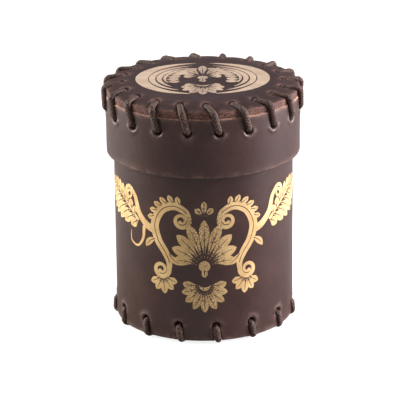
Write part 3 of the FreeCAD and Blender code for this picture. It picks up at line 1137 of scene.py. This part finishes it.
def raw_edge(name, dark, light):
    """A raw cut edge: reddish fibres in layers."""
    f = new_finish(name)
    layers = f.cloud(f.place((700, 700, 3600)), 1.3, 5, 0.65)
    fibres = f.cloud(f.place((2600, 2600, 900)), 1.1, 5, 0.7)
    blots = f.cloud(f.place(), 5.5, 3)
    colour = f.blend(f.between(layers * 0.5 + fibres * 0.5, 0.41, 0.59), dark, light)
    colour = f.blend(f.between(blots, 0.38, 0.66) * 0.65, colour, tint(74, 47, 40))
    return f.surface(Base_Color=colour, Roughness=0.82, Normal=f.relief(layers * 0.6 + fibres, 0.3))


def flesh_side(name):
    """The inner side: brushed, matt and fibrous."""
    f = new_finish(name)
    spot = f.place()
    nap = f.cloud(spot, 0.45, 6, 0.7)
    drift = f.cloud(spot, 9, 4)
    colour = f.blend(f.between(nap * 0.5 + drift * 0.5, 0.34, 0.66), tint(66, 47, 40), tint(118, 88, 74))
    return f.surface(
        Base_Color=colour,
        Roughness=0.93,
        Specular_IOR_Level=0.22,
        Normal=f.relief(nap + drift * 0.3, 0.16),
    )


def waxed_cord(name, dark, light, strands, pitch):
    """Waxed strands that cross on the cord's lay: painted shade where they meet, with pale broken fibres."""
    f = new_finish(name)
    lay = f.node("UVMap", {"uv_map": "lay"})
    round_it = f.part(lay, 0) * (2 * math.pi * strands)
    along = f.part(lay, 1) * (2 * math.pi * strands * LAY_LENGTH / pitch)
    crown = f.larger(f.cosine(round_it + along), f.cosine(round_it - along))
    fibres = f.cloud(f.stretched(lay, (9.0, 22.0, 1.0)), 1.0, 5, 0.7)
    wax = f.cloud(f.place(), 1.8, 4)
    broken = f.between(f.cloud(f.place(), 0.42, 4, 0.75), 0.56, 0.66)
    colour = f.blend(f.between(fibres * 0.6 + wax * 0.4, 0.33, 0.68), dark, light)
    colour = f.blend(broken * 0.55, colour, tint(156, 128, 114))
    # Painted shade: the valleys between crossing strands are darkened.
    colour = f.blend(f.between(crown, 0.9, 0.3) * 0.6, colour, tint(24, 18, 16))
    return f.surface(
        Base_Color=colour,
        Roughness=0.5 + fibres * 0.25,
        Specular_IOR_Level=0.3,
        Normal=f.relief(f.between(crown, 0.2, 1.0) * 0.8 + fibres * 0.8 + broken * 0.4, 0.14, 0.9),
    )


def pressed_foil(name, deep, bright, chased):
    """Gold foil pressed into the grain, with pinholes, and chased with scales near the middle line."""
    f = new_finish(name)
    spot = f.place()
    grain = f.creases(spot, GRAIN_SIZE)
    speck = f.cloud(spot, 0.32, 4, 0.7)
    drift = f.cloud(spot, 7, 3)
    missed = f.between(speck + drift * 0.35, 0.86, 0.93)
    aside = f.node("Math", {"operation": "ABSOLUTE"}, {0: f.part(spot, 0)})
    scales = f.between(f.creases(spot, 1.05), 0.12, 0.04) * f.between(aside, chased, chased * 0.3)
    gold = f.blend(f.between(speck * 0.5 + drift * 0.5, 0.3, 0.7), deep, bright)
    colour = f.blend(f.larger(missed, scales * 0.75), gold, tint(60, 38, 30))
    height = f.between(grain, 0.0, 0.3) * 0.7 + speck * 0.7 - scales
    return f.surface(
        Base_Color=colour,
        Metallic=0.34 - missed * 0.3,
        Roughness=0.64 + speck * 0.2,
        Normal=f.relief(height, 0.05, 0.9),
    )


# ---- Making the cup -----------------------------------------------------------------------------

leather_slots = [
    grain_leather("dyed_leather_grain", tint(46, 24, 19), tint(61, 36, 30), 0.29, 0.54),
    rubbed_edge("rubbed_leather_edge"),
    flesh_side("leather_flesh_side"),
    raw_edge("raw_disc_edge", tint(44, 24, 20), tint(132, 92, 80)),
    # The skirt's raw top edge gets paler tints than the disc's: a painted highlight line under the disc.
    raw_edge("raw_skirt_edge_painted_highlight", tint(120, 80, 64), tint(186, 146, 126)),
]
# The lid's top gets its own cooler, purplish tints of the same dyed leather: painted reflection of the light
# above it.
lid_grain = grain_leather("lid_grain_dye_and_painted_reflection", tint(42, 28, 28), tint(54, 38, 38), 0.5, 0.24)
lid_top_slots = [lid_grain] + leather_slots[1:]
lace_finish = waxed_cord("waxed_lace", tint(48, 31, 27), tint(106, 80, 70), LACE_STRANDS, LACE_PITCH)
thread_finish = waxed_cord("waxed_thread", tint(52, 36, 31), tint(106, 84, 74), THREAD_STRANDS, THREAD_PITCH)
cup_foil = pressed_foil("pressed_gold_foil", tint(196, 160, 104), tint(230, 202, 150), 13)
# The lid's copy of the gold foil is tinted paler and pinker: painted reflection of the light above the lid's
# top.
lid_foil = pressed_foil("pressed_lid_foil", tint(164, 142, 120), tint(194, 176, 156), 8)


def stitch_heights(low_end, high_end, pitch):
    """Heights a pitch apart, from the low end up to the high end at most."""
    count = int((high_end - low_end) / pitch + 1e-6) + 1
    return [low_end + pitch * k for k in range(count)]


def make_cup():
    wall = cup_wall_leather(leather_slots)
    base = cup_base_leather(leather_slots)
    press = pressed_round(BASE_HOLE_R, BASE_HOLE_Z, CUP_R)
    lace = lacing("cup_base_lacing", base_lace_route(), BASE_BENDS, press, lace_finish)
    heights = stitch_heights(CUP_LOW + 14.0, SKIRT_LOW - 4.0, 5.0)
    thread = seam_stitching("cup_seam_stitching", CUP_SEAM, CUP_R, heights, thread_finish)
    gold = foil("cup_gold_ornament", cup_ornament(), on_cup, cup_foil)
    stand_for(wall, "cup_wall", "cup")
    stand_for(base, "cup_base", "cup")
    stand_for(lace, "cup_base_lace", "cup")
    stand_for(thread, "cup_seam_thread", "cup")
    stand_for(gold, None, "cup")


def make_lid():
    skirt = lid_skirt_leather(leather_slots)
    top = lid_top_leather(lid_top_slots)
    press = pressed_round(LID_HOLE_R, LID_LACE_Z, LID_R)
    lace = lacing("lid_lacing", lid_lace_route(), LID_BENDS, press, lace_finish)
    heights = stitch_heights(SKIRT_LOW + 3.6, LID_HOLE_Z - 3.3, 4.4)
    thread = seam_stitching("lid_seam_stitching", LID_SEAM, LID_R, heights, thread_finish)
    gold = foil("lid_gold_ornament", lid_ornament(), on_lid, lid_foil)
    stand_for(skirt, "lid_skirt", "lid")
    stand_for(top, "lid_top", "lid")
    stand_for(lace, "lid_lace", "lid")
    stand_for(thread, "lid_seam_thread", "lid")
    stand_for(gold, None, "lid")


def stand_for(piece, node, body):
    """The piece rides on a body, and stands for a frame piece if one is named."""
    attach(piece, body)
    if node:
        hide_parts(node)


# ---- Studio, in metres --------------------------------------------------------------------------

CUP_MIDDLE = Vector((0, 0, 0.06))
TABLE_Z = -0.0002  # a hair under the laces that the cup stands on
TABLE_HALF = 4.0
CAMERA_PLACE = (-0.00181, -1.1, 0.4512)
CAMERA_TILT = math.radians(90 - 19.73)
CAMERA_ROLL = -0.010


def floor():
    """A table that shows as white and still takes the cup's shadow."""
    f = new_finish("white_table")
    seen = f.ray("Camera") + f.ray("Transmission")
    matt = f.node("BsdfDiffuse", None, {"Color": (0.28, 0.28, 0.28, 1.0)})
    glow = f.node("Emission", None, {"Strength": seen * 0.84 + f.ray("Glossy") * 0.04})
    both = f.node("AddShader", None, {0: matt, 1: glow})
    f.node("OutputMaterial", None, {"Surface": both})
    sheet = bmesh.new()
    bmesh.ops.create_grid(sheet, x_segments=2, y_segments=2, size=TABLE_HALF * 1000)
    table = as_piece("table", sheet, [f.owner])
    table.location.z = TABLE_Z
    sheet.free()


def studio_sky():
    """Pale behind the cup and dim in front of it, but plain white where it is seen straight."""
    f = Finish(bpy.data.worlds.new("studio"))
    bpy.context.scene.world = f.owner
    cyclorama = f.between(f.part(f.node("TexCoord", out="Generated"), 1), -0.3, 0.5)
    lit = 0.03 + 0.11 * cyclorama
    shine = f.ray("Glossy") * (0.01 + 0.16 * cyclorama)
    strength = f.larger(lit + shine, f.larger(f.ray("Camera"), f.ray("Transmission")))
    glow = f.node("Background", None, {"Color": (1, 1, 1, 1), "Strength": strength})
    f.node("OutputWorld", None, {"Surface": glow})


def softbox(name, place, wide, tall, power, colour):
    """A soft lamp that faces the middle of the cup."""
    lamp = bpy.data.lights.new(name, "AREA")
    lamp.shape = "RECTANGLE"
    lamp.size, lamp.size_y = wide, tall
    lamp.energy = power
    lamp.color = colour
    box = bpy.data.objects.new(name, lamp)
    box.location = place
    box.rotation_euler = (CUP_MIDDLE - box.location).to_track_quat("-Z", "Y").to_euler()
    bpy.context.scene.collection.objects.link(box)


def camera():
    """A long lens, a little above the cup."""
    lens = bpy.data.cameras.new("camera")
    lens.lens = 219.2
    lens.clip_start, lens.clip_end = 0.05, 60
    view = bpy.data.objects.new("camera", lens)
    turn = Matrix.Rotation(CAMERA_TILT, 4, "X") @ Matrix.Rotation(CAMERA_ROLL, 4, "Z")
    view.matrix_world = Matrix.Translation(CAMERA_PLACE) @ turn
    bpy.context.scene.collection.objects.link(view)
    bpy.context.scene.camera = view


make_cup()
make_lid()
floor()
studio_sky()
softbox("right_softbox", (1.1, 0.03, 0.42), 1.0, 1.0, 50, (1.0, 0.95, 1.0))
softbox("left_softbox", (-1.08, 0.28, 0.42), 0.95, 1.0, 38, (1.0, 0.95, 0.9))
softbox("front_softbox", (0.15, -1.3, 0.9), 0.5, 0.5, 4.5, (1.0, 0.97, 0.92))
softbox("back_softbox", (0.0, 1.3, 0.13), 1.1, 0.2, 0.5, (1.0, 0.88, 1.04))
camera()
bpy.context.scene.view_settings.view_transform = "Standard"
